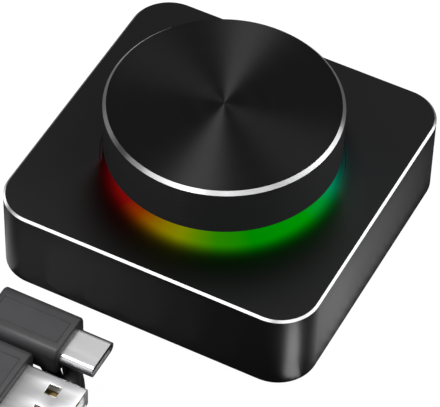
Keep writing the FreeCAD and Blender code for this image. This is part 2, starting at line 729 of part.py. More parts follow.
def tail(name, route, end):
    """A free stretch of the lead as a plain tube along its smoothed route."""
    points = [Vector(HANK_CENTRE_X + x, HANK_CENTRE_Y + y, z) for x, y, z in route]
    points.append(end)
    path, radii = smooth_path(points)
    section = Part.makeCircle(CABLE_DIAMETER / 2, points[0], points[1] - points[0])
    tube = path.makePipeShell([Part.Wire([section])], True, False)
    tube = tube.Solids[0] if tube.Solids else Part.Solid(tube.Shells[0])
    expected = math.pi * CABLE_DIAMETER ** 2 / 4 * path.Length
    print(name, "radii", [round(r, 1) for r in radii], "length", round(path.Length, 1),
          "volume ratio", round(tube.Volume / expected, 4))
    return tube


def plug_body(front, length, width, height, relief, axis):
    """Moulded plug grip with rounded edges and a tapering strain relief behind it."""
    corner = Vector(front - length, axis.y - width / 2, axis.z - height / 2)
    grip = Part.makeBox(length, width, height, corner)
    grip = grip.makeFillet(BODY_ROUNDING, [e for e in grip.Edges if abs(e.tangentAt(e.FirstParameter).x) > 0.99])
    back = Vector(front - length, axis.y, axis.z)
    cone = Part.makeCone(RELIEF_START, RELIEF_END, relief, back, ALONG_X * -1)
    return joined(grip, cone)


def usb_c_plug(axis):
    """Shell, insert and grip of the small plug, and the point where the lead leaves it."""
    front = axis.x - C_SHELL_LENGTH
    centre = (axis.y, axis.z)
    outer = long_slot(C_SHELL_WIDTH, C_SHELL_HEIGHT, front, C_SHELL_LENGTH, centre, ALONG_X)
    inner_size = (C_SHELL_WIDTH - 2 * C_SHELL_WALL, C_SHELL_HEIGHT - 2 * C_SHELL_WALL)
    inner = long_slot(inner_size[0], inner_size[1], front, C_SHELL_LENGTH, centre, ALONG_X)
    liner_length = C_SHELL_LENGTH - C_SHELL_WALL
    liner = long_slot(inner_size[0], inner_size[1], front, liner_length, centre, ALONG_X)
    slot_corner = Vector(front + C_SHELL_WALL, axis.y - C_SLOT_WIDTH / 2, axis.z - C_SLOT_HEIGHT / 2)
    slot = Part.makeBox(C_SHELL_LENGTH, C_SLOT_WIDTH, C_SLOT_HEIGHT, slot_corner)
    grip = plug_body(front, C_BODY_LENGTH, C_BODY_WIDTH, C_BODY_HEIGHT, C_RELIEF_LENGTH, axis)
    exit_point = Vector(front - C_BODY_LENGTH - C_RELIEF_LENGTH, axis.y, axis.z)
    return carved(outer, inner), carved(liner, slot), grip, exit_point


def usb_a_plug(axis):
    """Shell, tongue, contacts and grip of the large plug, and the point where the lead leaves it."""
    front = axis.x - A_SHELL_LENGTH
    outer_corner = Vector(front, axis.y - A_SHELL_WIDTH / 2, axis.z - A_SHELL_HEIGHT / 2)
    inner_width = A_SHELL_WIDTH - 2 * A_SHELL_WALL
    inner_height = A_SHELL_HEIGHT - 2 * A_SHELL_WALL
    inner_corner = outer_corner + Vector(0, A_SHELL_WALL, A_SHELL_WALL)
    shell = Part.makeBox(A_SHELL_LENGTH, A_SHELL_WIDTH, A_SHELL_HEIGHT, outer_corner)
    cuts = [Part.makeBox(A_SHELL_LENGTH, inner_width, inner_height, inner_corner)]
    for side in (-1, 1):
        place = (axis.x - A_WINDOW_SETBACK, axis.y + side * A_WINDOW_PITCH / 2)
        cuts.append(block(A_WINDOW, A_WINDOW, 2 * A_SHELL_HEIGHT, place, axis.z - A_SHELL_HEIGHT))
    shell = carved(shell, *cuts)
    tongue_length = A_SHELL_LENGTH - A_TONGUE_SETBACK
    tongue = Part.makeBox(tongue_length, inner_width, A_TONGUE_HEIGHT, inner_corner)
    contacts = []
    for i in range(A_CONTACTS):
        y = axis.y + (i - (A_CONTACTS - 1) / 2) * A_CONTACT_PITCH
        place = (front + tongue_length - A_CONTACT_LENGTH / 2, y)
        height = inner_corner.z + A_TONGUE_HEIGHT
        contacts.append(block(A_CONTACT_LENGTH, A_CONTACT_WIDTH, CONTACT_THICKNESS, place, height))
    grip = plug_body(front, A_BODY_LENGTH, A_BODY_WIDTH, A_BODY_HEIGHT, A_RELIEF_LENGTH, axis)
    exit_point = Vector(front - A_BODY_LENGTH - A_RELIEF_LENGTH, axis.y, axis.z)
    return shell, tongue, contacts, grip, exit_point


def lead():
    """The whole lead: hank, tie, two free stretches and two plugs that lie across the hank's end."""
    hank, bands = hank_and_tie()
    save("cable_hank", hank)
    save("cable_tie", *bands)

    c_height = HANK_BUNDLE + PLUG_SEAT + C_BODY_HEIGHT / 2
    c_axis = Vector(HANK_CENTRE_X + C_TIP_OFFSET, HANK_CENTRE_Y + C_SIDE_OFFSET, c_height)
    shell, liner, grip, c_exit = usb_c_plug(c_axis)
    save("usb_c_plug_shell", shell)
    save("usb_c_plug_insert", liner)
    save("usb_c_plug_body", grip)

    a_height = HANK_BUNDLE + PLUG_SEAT + A_SHELL_HEIGHT / 2
    a_axis = Vector(HANK_CENTRE_X + A_TIP_OFFSET, HANK_CENTRE_Y + A_SIDE_OFFSET, a_height)
    shell, tongue, contacts, grip, a_exit = usb_a_plug(a_axis)
    save("usb_a_plug_shell", shell)
    save("usb_a_plug_tongue", tongue)
    save("usb_a_plug_contacts", *contacts)
    save("usb_a_plug_body", grip)

    save("cable_tail_usb_c", tail("cable_tail_usb_c", C_TAIL, c_exit))
    save("cable_tail_usb_a", tail("cable_tail_usb_a", A_TAIL, a_exit))


# ---------------------------------------------------------------- the whole object

def build():
    os.makedirs("parts", exist_ok=True)
    screw_places = [(x * SCREW_PLACE, y * SCREW_PLACE) for x, y in SQUARE]
    board_screw_places = [(x * BOARD_BOSS_X, y * BOARD_BOSS_OFFSET) for x, y in SQUARE]

    save("housing", housing())
    save("bottom_plate", bottom_plate())
    save("bottom_screws", *[plate_screw(p) for p in screw_places])
    for number, place in enumerate(screw_places, 1):
        save(f"foot_{number}", foot(place))

    save("light_guide", light_guide())
    save("main_board", main_board())
    save("board_screws", *[board_screw(p) for p in board_screw_places])
    for index in range(LED_COUNT):
        save(f"led_{index + 1}", led(index))
    save("controller_chip", hung((CHIP_SIDE, CHIP_SIDE, CHIP_HEIGHT), (0, -CHIP_OFFSET)))
    save("controller_pins", *chip_pins())
    save("crystal", hung(CRYSTAL_SIZE, CRYSTAL_PLACE))
    save("voltage_regulator", hung(REGULATOR_SIZE, REGULATOR_PLACE))
    save("capacitors", *part_row(CAPACITOR_ROW_Y))
    save("resistors", *part_row(RESISTOR_ROW_Y))

    save("usb_socket_shell", socket_shell())
    save("usb_socket_tongue", socket_tongue())
    save("usb_socket_contacts", *socket_contacts())

    save("encoder_base", encoder_base())
    save("encoder_bushing", encoder_bushing())
    save("encoder_frame", encoder_frame())
    save("encoder_washer", washer())
    save("encoder_nut", nut())
    save("encoder_terminals", *terminals())
    save("encoder_detent_spring", detent_spring())
    save("encoder_rotor", encoder_rotor())
    save("encoder_switch_dome", switch_dome())
    save("encoder_plunger", rod(PLUNGER_RADIUS, PLUNGER_BOTTOM, PLUNGER_TOP))
    save("encoder_shaft", encoder_shaft())

    save("knob_cap", knob_cap())
    save("knob_hub", knob_hub())

    lead()


build()
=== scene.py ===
import bpy
import bmesh
from math import cos, pi, radians, sin
from mathutils import Matrix, Vector


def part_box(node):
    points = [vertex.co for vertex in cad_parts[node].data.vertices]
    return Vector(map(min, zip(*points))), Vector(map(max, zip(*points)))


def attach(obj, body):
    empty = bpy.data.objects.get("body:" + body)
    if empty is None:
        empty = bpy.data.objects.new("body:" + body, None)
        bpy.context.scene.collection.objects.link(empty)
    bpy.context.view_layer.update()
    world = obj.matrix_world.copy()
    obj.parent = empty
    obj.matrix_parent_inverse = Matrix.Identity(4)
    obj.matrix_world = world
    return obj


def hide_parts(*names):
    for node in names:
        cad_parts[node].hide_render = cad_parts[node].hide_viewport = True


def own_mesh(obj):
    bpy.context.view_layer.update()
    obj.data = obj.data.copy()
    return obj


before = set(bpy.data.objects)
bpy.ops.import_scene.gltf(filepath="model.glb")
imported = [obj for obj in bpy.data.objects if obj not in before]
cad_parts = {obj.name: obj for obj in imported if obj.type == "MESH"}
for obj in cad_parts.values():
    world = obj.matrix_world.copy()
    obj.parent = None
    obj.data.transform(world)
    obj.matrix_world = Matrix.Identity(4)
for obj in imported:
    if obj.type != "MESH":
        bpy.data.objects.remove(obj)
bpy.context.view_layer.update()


# ================================================================ housing
# A square aluminium block, milled out from below. It is blasted with fine beads and anodised black, and its
# top edge is then cut once more with a diamond tool, which leaves a bright bare facet. The ring's light
# round the knob's foot is painted over its top as a glow, and the knob's dark reflection is painted in front
# of it.

HOUSING_LOW, HOUSING_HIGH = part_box("housing")
KNOB_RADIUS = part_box("knob_cap")[1][0]
LIT_DEPTH = 0.0015
BLACK = (0, 0, 0, 1)
ANODISED_DARK = (0.0046, 0.0046, 0.0048, 1)
ANODISED_LIGHT = (0.0062, 0.0062, 0.0065, 1)
ANODISED_SATIN = (0.36, 0.46)
BARE_EDGE = (0.93, 0.93, 0.94, 1)
BARE_EDGE_ROUGH = 0.30
BARE_EDGE_SLOPES = (0.5, 0.9)


class Finish:
    """One material under way: its nodes, its Principled shader and its Object coordinates."""

    def __init__(self, name, **constants):
        self.material = bpy.data.materials.new(name)
        self.material.use_nodes = True
        self.tree = self.material.node_tree
        self.shader = self.tree.nodes["Principled BSDF"]
        self.place = self.tree.nodes.new("ShaderNodeTexCoord").outputs["Object"]
        for socket, value in constants.items():
            self.shader.inputs[socket.replace("_", " ")].default_value = value

    def add(self, kind, settings=None, **inputs):
        """Add a node. An input is a value or the output that feeds it."""
        return add_node(self.tree, kind, settings, **inputs)

    def feed(self, socket, output):
        """Link an output to one of the shader's inputs."""
        self.tree.links.new(output, self.shader.inputs[socket])

    def effect(self, group, **inputs):
        """Place one of the shared effects, with this material's own values."""
        node = self.tree.nodes.new("ShaderNodeGroup")
        node.node_tree = group
        fill_inputs(self.tree, node, inputs)
        return node

    def paint(self, *names):
        """Put the finished material on CAD nodes."""
        for name in names:
            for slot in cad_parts[name].material_slots:
                slot.material = self.material


def fill_inputs(tree, node, inputs):
    """Set or link a node's inputs. A key is an input's name with _ for a space, or i and its number."""
    for key, value in inputs.items():
        numbered = key[0] == "i" and key[1:].isdigit()
        socket = node.inputs[int(key[1:]) if numbered else key.replace("_", " ")]
        if isinstance(value, bpy.types.NodeSocket):
            tree.links.new(value, socket)
        else:
            socket.default_value = value


def add_node(tree, kind, settings=None, **inputs):
    """Add a node to a tree, with its settings and its inputs."""
    node = tree.nodes.new("ShaderNode" + kind)
    for setting, value in (settings or {}).items():
        setattr(node, setting, value)
    fill_inputs(tree, node, inputs)
    return node


def reckon(tree, operation, *values):
    """The result of a Math node. Each value is a number or the output that gives it."""
    given = {f"i{place}": value for place, value in enumerate(values)}
    return add_node(tree, "Math", {"operation": operation}, **given).outputs[0]


def from_axis(tree, place):
    """A place's parts, what is left of it with no height, and how far it is from the knob's axis."""
    parts = add_node(tree, "SeparateXYZ", Vector=place).outputs
    flat = add_node(tree, "CombineXYZ", X=parts["X"], Y=parts["Y"]).outputs[0]
    return parts, flat, add_node(tree, "VectorMath", {"operation": "LENGTH"}, i0=flat).outputs["Value"]


def shared_effect(name, inputs, outputs):
    """An empty node group with named inputs and outputs, and its two end nodes."""
    group = bpy.data.node_groups.new(name, "ShaderNodeTree")
    for label, kind in inputs:
        group.interface.new_socket(label, in_out="INPUT", socket_type="NodeSocket" + kind)
    for label, kind in outputs:
        group.interface.new_socket(label, in_out="OUTPUT", socket_type="NodeSocket" + kind)
    return group, group.nodes.new("NodeGroupInput").outputs, group.nodes.new("NodeGroupOutput").inputs


def fine_grain():
    """Small pits, as left by blasting, by a moulding tool or by casting: a mask and a bumped normal."""
    group, given, result = shared_effect(
        "fine_grain", [("Place", "Vector"), ("Per Metre", "Float"), ("Depth", "Float")],
        [("Mask", "Float"), ("Normal", "Vector")])
    pits = add_node(group, "TexNoise", Vector=given["Place"], Scale=given["Per Metre"], Detail=3.0,
                    Roughness=0.6)
    relief = add_node(group, "Bump", Height=pits.outputs["Fac"], Distance=given["Depth"], Strength=1.0)
    group.links.new(pits.outputs["Fac"], result["Mask"])
    group.links.new(relief.outputs["Normal"], result["Normal"])
    return group


RING_COLOURS = [
    (-160, (0.0, 0.0, 0.0)), (-150, (0.02, 0.0, 0.0)), (-144, (0.055, 0.0, 0.001)),
    (-138, (0.09, 0.001, 0.002)), (-126, (0.155, 0.002, 0.002)), (-118, (0.172, 0.003, 0.002)),
    (-108, (0.197, 0.028, 0.0)), (-101, (0.203, 0.076, 0.0)), (-92, (0.205, 0.15, 0.0)),
    (-84, (0.18, 0.20, 0.0)), (-75, (0.08, 0.20, 0.0)), (-66, (0.02, 0.20, 0.0)),
    (-48, (0.0, 0.21, 0.0)), (-18, (0.0, 0.25, 0.001)), (-4, (0.0, 0.243, 0.025)),
    (6, (0.0, 0.225, 0.094)), (14, (0.0, 0.14, 0.083)), (22, (0.0, 0.065, 0.055)),
    (40, (0.0, 0.0, 0.0)), (60, (0.0, 0.0, 0.0)), (85, (0.01, 0.03, 0.21)),
    (120, (0.11, 0.0, 0.19)), (150, (0.06, 0.0, 0.04)), (165, (0.0, 0.0, 0.0)),
]
GLOW_FRONT = radians(-56)
GLOW_START = -0.00087
GLOW_LOBE = 0.00078
GLOW_REACH = 0.00172
GLOW_STEEPNESS = 1.8
HAZE_REACH = 0.003
HAZE_SHARE = 0.13
HAZE_STEEPNESS = 1.0
# a painted reflection: black painted on the top in front of the knob, where the dark knob would be mirrored
PAINTED_DARK_FRONT = radians(-71)
PAINTED_DARK_FACING = (0.22, 0.98)
PAINTED_DARK_REACH = (0.0001, 0.0115)
PAINTED_DARK_STEEPNESS = 2.0


def faded(group, radius, start, reach, steepness):
    """1 up to a radius, and less and less beyond it: exp(-((radius - start) / reach) ** steepness)."""
    share = reckon(group, "DIVIDE", reckon(group, "SUBTRACT", radius, start), reach)
    steep = reckon(group, "POWER", reckon(group, "MAXIMUM", share, 0.0), steepness)
    return reckon(group, "EXPONENT", reckon(group, "MULTIPLY", steep, -1.0))


def ring_colour(group, turn):
    """The light's colour all round the knob. RING_COLOURS goes by degrees from the right-hand side."""
    share = add_node(group, "MapRange", Value=turn, From_Min=-pi, From_Max=pi)
    colour = add_node(group, "ValToRGB", Fac=share.outputs[0])
    ramp = colour.color_ramp
    while len(ramp.elements) < len(RING_COLOURS):
        ramp.elements.new(0.5)
    for element, (angle, light) in zip(ramp.elements, RING_COLOURS):
        element.position = (angle + 180) / 360
        element.color = (*light, 1.0)
    return colour.outputs["Color"]


def ring_light():
    """Coloured light painted on the top round the knob's foot, which reaches furthest at the front and the
    back,
    and a painted reflection: black where the dark knob would be mirrored in the top in front of it."""
    group, given, result = shared_effect(
        "ring_light", [("Place", "Vector"), ("Knob Radius", "Float")],
        [("Color", "Color"), ("Painted Dark Reflection", "Float")])
    parts, _, radius = from_axis(group, given["Place"])
    turn = reckon(group, "ARCTAN2", parts["Y"], parts["X"])
    lobes = reckon(group, "COSINE", reckon(group, "MULTIPLY_ADD", turn, 2.0, -2 * GLOW_FRONT))
    start = reckon(group, "MULTIPLY_ADD", lobes, GLOW_LOBE, GLOW_START)
    edge = reckon(group, "ADD", start, given["Knob Radius"])
    beam = faded(group, radius, edge, GLOW_REACH, GLOW_STEEPNESS)
    haze = faded(group, radius, edge, HAZE_REACH, HAZE_STEEPNESS)
    fall = reckon(group, "MULTIPLY_ADD", haze, HAZE_SHARE, beam)
    tint = add_node(group, "VectorMath", {"operation": "SCALE"}, i0=ring_colour(group, turn), Scale=fall)
    # the painted reflection of the dark knob in the top, which reaches furthest towards the front
    facing = reckon(group, "COSINE", reckon(group, "SUBTRACT", turn, PAINTED_DARK_FRONT))
    reach = add_node(group, "MapRange", Value=facing, From_Min=PAINTED_DARK_FACING[0], From_Max=PAINTED_DARK_FACING[1],
                     To_Min=PAINTED_DARK_REACH[0], To_Max=PAINTED_DARK_REACH[1]).outputs[0]
    painted_dark = faded(group, radius, given["Knob Radius"], reach, PAINTED_DARK_STEEPNESS)
    group.links.new(painted_dark, result["Painted Dark Reflection"])
    group.links.new(tint.outputs[0], result["Color"])
    return group


GRAIN = fine_grain()
RING_LIGHT = ring_light()


def facet_mask(finish, lowest, highest):
    """1 on the faces whose slope lies between two values of the normal's Z, and 0 elsewhere."""
    slope = finish.add("SeparateXYZ", Vector=finish.add("NewGeometry").outputs["True Normal"]).outputs["Z"]
    above = reckon(finish.tree, "GREATER_THAN", slope, lowest)
    below = reckon(finish.tree, "LESS_THAN", slope, highest)
    return reckon(finish.tree, "MULTIPLY", above, below)


def mixed(finish, mask, first, second):
    """A colour that goes from the first to the second as the mask goes from 0 to 1."""
    return finish.add("Mix", {"data_type": "RGBA"}, i0=mask, i6=first, i7=second).outputs[2]


def between(finish, mask, low, high):
    """A number that goes from low to high as the mask goes from 0 to 1."""
    return finish.add("MapRange", Value=mask, To_Min=low, To_Max=high).outputs[0]


def anodised_aluminium():
    """Anodised black with a bare cut edge. A metallic black mirrors nothing, so the painted dark reflection
    is one.
    """
    finish = Finish("anodised_black", Specular_IOR_Level=0.05, Emission_Strength=1.0)
    grain = finish.effect(GRAIN, Place=finish.place, Per_Metre=6500.0, Depth=0.000012)
    clouds = finish.add("TexNoise", Vector=finish.place, Scale=45.0, Detail=2.0).outputs["Fac"]
    dye = mixed(finish, clouds, ANODISED_DARK, ANODISED_LIGHT)
    glow = finish.effect(RING_LIGHT, Place=finish.place, Knob_Radius=KNOB_RADIUS)
    height = finish.add("SeparateXYZ", Vector=finish.place).outputs["Z"]
    # painted light: the ring's glow is painted on the top as emission
    on_top = reckon(finish.tree, "GREATER_THAN", height, HOUSING_HIGH[2] - LIT_DEPTH)
    finish.feed("Emission Color", mixed(finish, on_top, BLACK, glow.outputs["Color"]))
    # black and metallic where the knob's dark reflection is painted on the top
    painted_dark = reckon(finish.tree, "MULTIPLY", on_top, glow.outputs["Painted Dark Reflection"])
    cut = facet_mask(finish, *BARE_EDGE_SLOPES)
    finish.feed("Base Color", mixed(finish, cut, mixed(finish, painted_dark, dye, BLACK), BARE_EDGE))
    finish.feed("Metallic", reckon(finish.tree, "MAXIMUM", cut, painted_dark))
    satin = between(finish, grain.outputs["Mask"], *ANODISED_SATIN)
    finish.feed("Roughness", finish.add("Mix", i0=cut, i2=satin, i3=BARE_EDGE_ROUGH).outputs[0])
    finish.feed("Normal", grain.outputs["Normal"])
    finish.paint("housing")


anodised_aluminium()


# ================================================================ bottom plate, feet and screws
# The housing is closed from below by a moulded black plate. Four countersunk screws hold it, and a round
# rubber foot is stuck over each of them.

def moulded(name, dark, light, rough, grain_per_metre=3500.0, grain_depth=0.00002, **constants):
    """Moulded plastic, rubber or board lacquer: a little cloudy in colour, with the grain of its tool."""
    finish = Finish(name, **constants)
    grain = finish.effect(GRAIN, Place=finish.place, Per_Metre=grain_per_metre, Depth=grain_depth)
    clouds = finish.add("TexNoise", Vector=finish.place, Scale=180.0, Detail=3.0).outputs["Fac"]
    finish.feed("Base Color", mixed(finish, clouds, (*dark, 1), (*light, 1)))
    finish.feed("Roughness", between(finish, grain.outputs["Mask"], *rough))
    finish.feed("Normal", grain.outputs["Normal"])
    return finish


def plated(name, dark, light, rough, streaks=(900.0, 900.0, 60.0), depth=0.000006):
    """Sheet or turned metal with a thin plating: fine streaks along one axis in colour, gloss and relief."""
    finish = Finish(name, Metallic=1.0)
    stretched = finish.add("Mapping", Vector=finish.place, Scale=streaks).outputs[0]
    lines = finish.add("TexNoise", Vector=stretched, Scale=4.0, Detail=4.0).outputs["Fac"]
    finish.feed("Base Color", mixed(finish, lines, (*dark, 1), (*light, 1)))
    finish.feed("Roughness", between(finish, lines, *rough))
    finish.feed("Normal", finish.add("Bump", Height=lines, Distance=depth, Strength=1.0).outputs["Normal"])
    return finish


moulded("plate_plastic", (0.012, 0.012, 0.013), (0.02, 0.02, 0.021), (0.5, 0.65)).paint("bottom_plate")
moulded("foot_rubber", (0.016, 0.016, 0.017), (0.028, 0.028, 0.029), (0.7, 0.9), 1800.0, 0.00004,
        Specular_IOR_Level=0.3).paint("foot_1", "foot_2", "foot_3", "foot_4")
plated("screw_steel", (0.42, 0.42, 0.44), (0.6, 0.6, 0.62), (0.25, 0.4)).paint(
    "bottom_screws", "board_screws")


# ================================================================ light guide
# A disc of smoked plastic that is glued flush into the housing's round hole. Lamps under it make its edge
# glow from red through yellow and green to blue and violet, with a dark stretch at each side.

SMOKE_DARK = (0.003, 0.003, 0.0033, 1)
SMOKE_LIGHT = (0.005, 0.005, 0.0055, 1)
SMOKE_ROUGH = (0.35, 0.5)


def light_plastic():
    """Smoked plastic, lit round the knob's foot, with the knob's dark reflection painted in front of it, as
    on the housing's top.
    """
    finish = Finish("light_smoked", Specular_IOR_Level=0.05, Emission_Strength=1.0)
    grain = finish.effect(GRAIN, Place=finish.place, Per_Metre=4200.0, Depth=0.00001)
    clouds = finish.add("TexNoise", Vector=finish.place, Scale=120.0, Detail=2.0).outputs["Fac"]
    glow = finish.effect(RING_LIGHT, Place=finish.place, Knob_Radius=KNOB_RADIUS)
    smoke = mixed(finish, clouds, SMOKE_DARK, SMOKE_LIGHT)
    # black and metallic where the knob's dark reflection is painted
    finish.feed("Base Color", mixed(finish, glow.outputs["Painted Dark Reflection"], smoke, BLACK))
    finish.feed("Metallic", glow.outputs["Painted Dark Reflection"])
    finish.feed("Roughness", between(finish, grain.outputs["Mask"], *SMOKE_ROUGH))
    finish.feed("Normal", grain.outputs["Normal"])
    finish.feed("Emission Color", glow.outputs["Color"])
    finish.paint("light_guide")


light_plastic()


# ================================================================ circuit board and what it carries
# A board with dark lacquer hangs under the roof on four screws. It carries a ring of square lamps on top,
# and the controller, its crystal, a regulator and rows of small parts underneath.

LACQUER = (0.006, 0.02, 0.012, 1)
LACQUER_ON_TRACKS = (0.012, 0.045, 0.026, 1)
LACQUER_ROUGH = (0.28, 0.4)
TRACKS_PER_METRE = 420.0
TRACK_HEIGHT = 0.00004
LEDS = [f"led_{number}" for number in range(1, 9)]


def lacquered_board():
    """Dark lacquer over copper tracks, which show as faint straight ridges in both directions."""
    finish = Finish("board_black")
    tracks = finish.add("TexBrick", {"offset": 0.37, "squash": 1.0}, Vector=finish.place,
                        Scale=TRACKS_PER_METRE, Mortar_Size=0.06, Color1=BLACK, Color2=BLACK,
                        Mortar=(1, 1, 1, 1))
    mask = tracks.outputs["Color"]
    finish.feed("Base Color", mixed(finish, mask, LACQUER, LACQUER_ON_TRACKS))
    finish.feed("Roughness", between(finish, mask, *LACQUER_ROUGH))
    ridges = finish.add("Bump", Height=mask, Distance=TRACK_HEIGHT, Strength=0.6)
    finish.feed("Normal", ridges.outputs["Normal"])
    finish.paint("main_board")


lacquered_board()
moulded("led_white", (0.78, 0.77, 0.7), (0.88, 0.87, 0.82), (0.25, 0.4)).paint(*LEDS)
moulded("chip_black", (0.016, 0.016, 0.016), (0.03, 0.03, 0.03), (0.5, 0.65)).paint(
    "controller_chip", "voltage_regulator", "resistors")
moulded("capacitor_tan", (0.35, 0.23, 0.13), (0.48, 0.34, 0.21), (0.4, 0.55)).paint("capacitors")
plated("pin_tin", (0.55, 0.55, 0.56), (0.72, 0.72, 0.72), (0.3, 0.45)).paint(
    "controller_pins", "encoder_terminals")
plated("crystal_can", (0.55, 0.53, 0.46), (0.68, 0.66, 0.58), (0.25, 0.38)).paint("crystal")


# ================================================================ USB-C socket
# A tube of folded stainless sheet round a thin moulded tongue, with a row of gold strips on each face. It is
# soldered to the board and shows in the rear wall.

plated("socket_steel", (0.5, 0.5, 0.51), (0.66, 0.66, 0.67), (0.2, 0.34), (700.0, 50.0, 700.0)).paint(
    "usb_socket_shell", "encoder_frame")
moulded("tongue_black", (0.012, 0.012, 0.012), (0.022, 0.022, 0.022), (0.4, 0.55)).paint(
    "usb_socket_tongue", "usb_c_plug_insert")
plated("contact_gold", (0.78, 0.52, 0.18), (0.9, 0.68, 0.32), (0.2, 0.32), (600.0, 60.0, 600.0)).paint(
    "usb_socket_contacts", "usb_a_plug_contacts")


# ================================================================ encoder
# A push-and-turn encoder: a moulded base on the board, a zinc flange with a threaded neck clamped on it by a
# bent sheet frame, a code wheel and spring inside, and a turned steel shaft. A washer and a thin nut hold it
# to the roof, and a snap dome under the plunger gives the click.

DOME_SHEET = 0.00012
DOME_SEGMENTS = 48
DOME_RINGS = 120
SMOOTH_BELOW = radians(40)


def choose(kind, test):
    """In edit mode, select the edges or faces that pass a test."""
    bpy.ops.mesh.select_mode(type=kind)
    bpy.ops.mesh.select_all(action="DESELECT")
    form = bmesh.from_edit_mesh(bpy.context.object.data)
    for element in form.edges if kind == "EDGE" else form.faces:
        element.select_set(test(element))
    bmesh.update_edit_mesh(bpy.context.object.data)


def apply_modifier(piece, kind, **settings):
    """Finish a piece with a modifier and apply it."""
    modifier = piece.modifiers.new(kind.lower(), kind)
    for setting, value in settings.items():
        setattr(modifier, setting, value)
    bpy.ops.object.modifier_apply(modifier=modifier.name)


def cut_level(height, nearest):
    """In edit mode, cut a piece through at a height and take away all that lies lower."""
    bpy.ops.mesh.select_all(action="SELECT")
    bpy.ops.mesh.bisect(plane_co=(0.0, 0.0, height), plane_no=(0.0, 0.0, 1.0), clear_inner=True,
                        threshold=nearest)


def snap_dome(finish):
    """Thin bowl cut from a hollow ball, standing on its rim. The real dome flattens when the knob is
    pressed; this one keeps its shape.
    """
    low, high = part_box("encoder_switch_dome")
    radius, height = (high[0] - low[0]) / 2, high[2] - low[2]
    ball = (radius ** 2 + height ** 2) / (2 * height)
    middle = ((low[0] + high[0]) / 2, (low[1] + high[1]) / 2, high[2] - ball)
    bpy.ops.object.select_all(action="DESELECT")
    bpy.ops.mesh.primitive_uv_sphere_add(segments=DOME_SEGMENTS, ring_count=DOME_RINGS, radius=ball,
                                         location=middle)
    bpy.ops.object.transform_apply(location=True)
    piece = bpy.context.object
    piece.name = "snap_dome"
    bpy.ops.object.mode_set(mode="EDIT")
    cut_level(low[2] - 2 * DOME_SHEET, DOME_SHEET / 100)
    bpy.ops.object.mode_set(mode="OBJECT")
    apply_modifier(piece, "SOLIDIFY", thickness=DOME_SHEET, offset=-1.0)
    bpy.ops.object.mode_set(mode="EDIT")
    cut_level(low[2], DOME_SHEET / 100)
    choose("EDGE", lambda edge: edge.is_boundary)
    bpy.ops.mesh.bridge_edge_loops()
    bpy.ops.mesh.select_all(action="SELECT")
    bpy.ops.mesh.normals_make_consistent(inside=False)
    bpy.ops.object.mode_set(mode="OBJECT")
    bpy.ops.object.shade_smooth_by_angle(angle=SMOOTH_BELOW)
    piece.data.materials.append(finish.material)
    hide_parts("encoder_switch_dome")
    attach(piece, "base")
    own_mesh(piece)


moulded("encoder_plastic", (0.02, 0.02, 0.023), (0.035, 0.035, 0.038), (0.4, 0.55)).paint("encoder_base")
plated("encoder_zinc", (0.42, 0.42, 0.43), (0.56, 0.56, 0.57), (0.4, 0.55), (300.0, 300.0, 2600.0),
       0.00004).paint("encoder_bushing")
plated("nut_steel", (0.55, 0.55, 0.55), (0.7, 0.69, 0.67), (0.18, 0.32)).paint(
    "encoder_nut", "encoder_washer")
spring_steel = plated("spring_steel", (0.5, 0.5, 0.48), (0.66, 0.66, 0.63), (0.2, 0.32))
spring_steel.paint("encoder_detent_spring")
snap_dome(spring_steel)
plated("shaft_steel", (0.52, 0.52, 0.52), (0.7, 0.7, 0.7), (0.18, 0.3), (120.0, 120.0, 3500.0)).paint(
    "encoder_shaft")
moulded("rotor_plastic", (0.62, 0.58, 0.48), (0.74, 0.7, 0.6), (0.4, 0.55)).paint(
    "encoder_rotor", "encoder_plunger")


# ================================================================ knob
# A cap turned from solid aluminium and anodised black. Its top is spun in fine rings that catch the light as
# two long wedges, and the bevel round the top is cut bright. A moulded hub glued inside grips the shaft.

SPUN_TOP_DARK = (0.0014, 0.0014, 0.0015, 1)
SPUN_TOP_LIGHT = (0.0024, 0.0024, 0.0025, 1)
SPUN_SIDE_DARK = (0.0090, 0.0090, 0.0094, 1)
SPUN_SIDE_LIGHT = (0.0125, 0.0125, 0.0130, 1)
SPUN_ROUGH = (0.30, 0.42)
BRIGHT_BEVEL = (0.74, 0.74, 0.75, 1)
BRIGHT_BEVEL_ROUGH = 0.32
BEVEL_SLOPES = (0.3, 0.9)
TOP_AND_BEVEL_SLOPES = (0.3, 2.0)
RINGS_PER_METRE = 2600.0
BANDS_PER_METRE = 420.0
RING_RELIEF = 0.000006


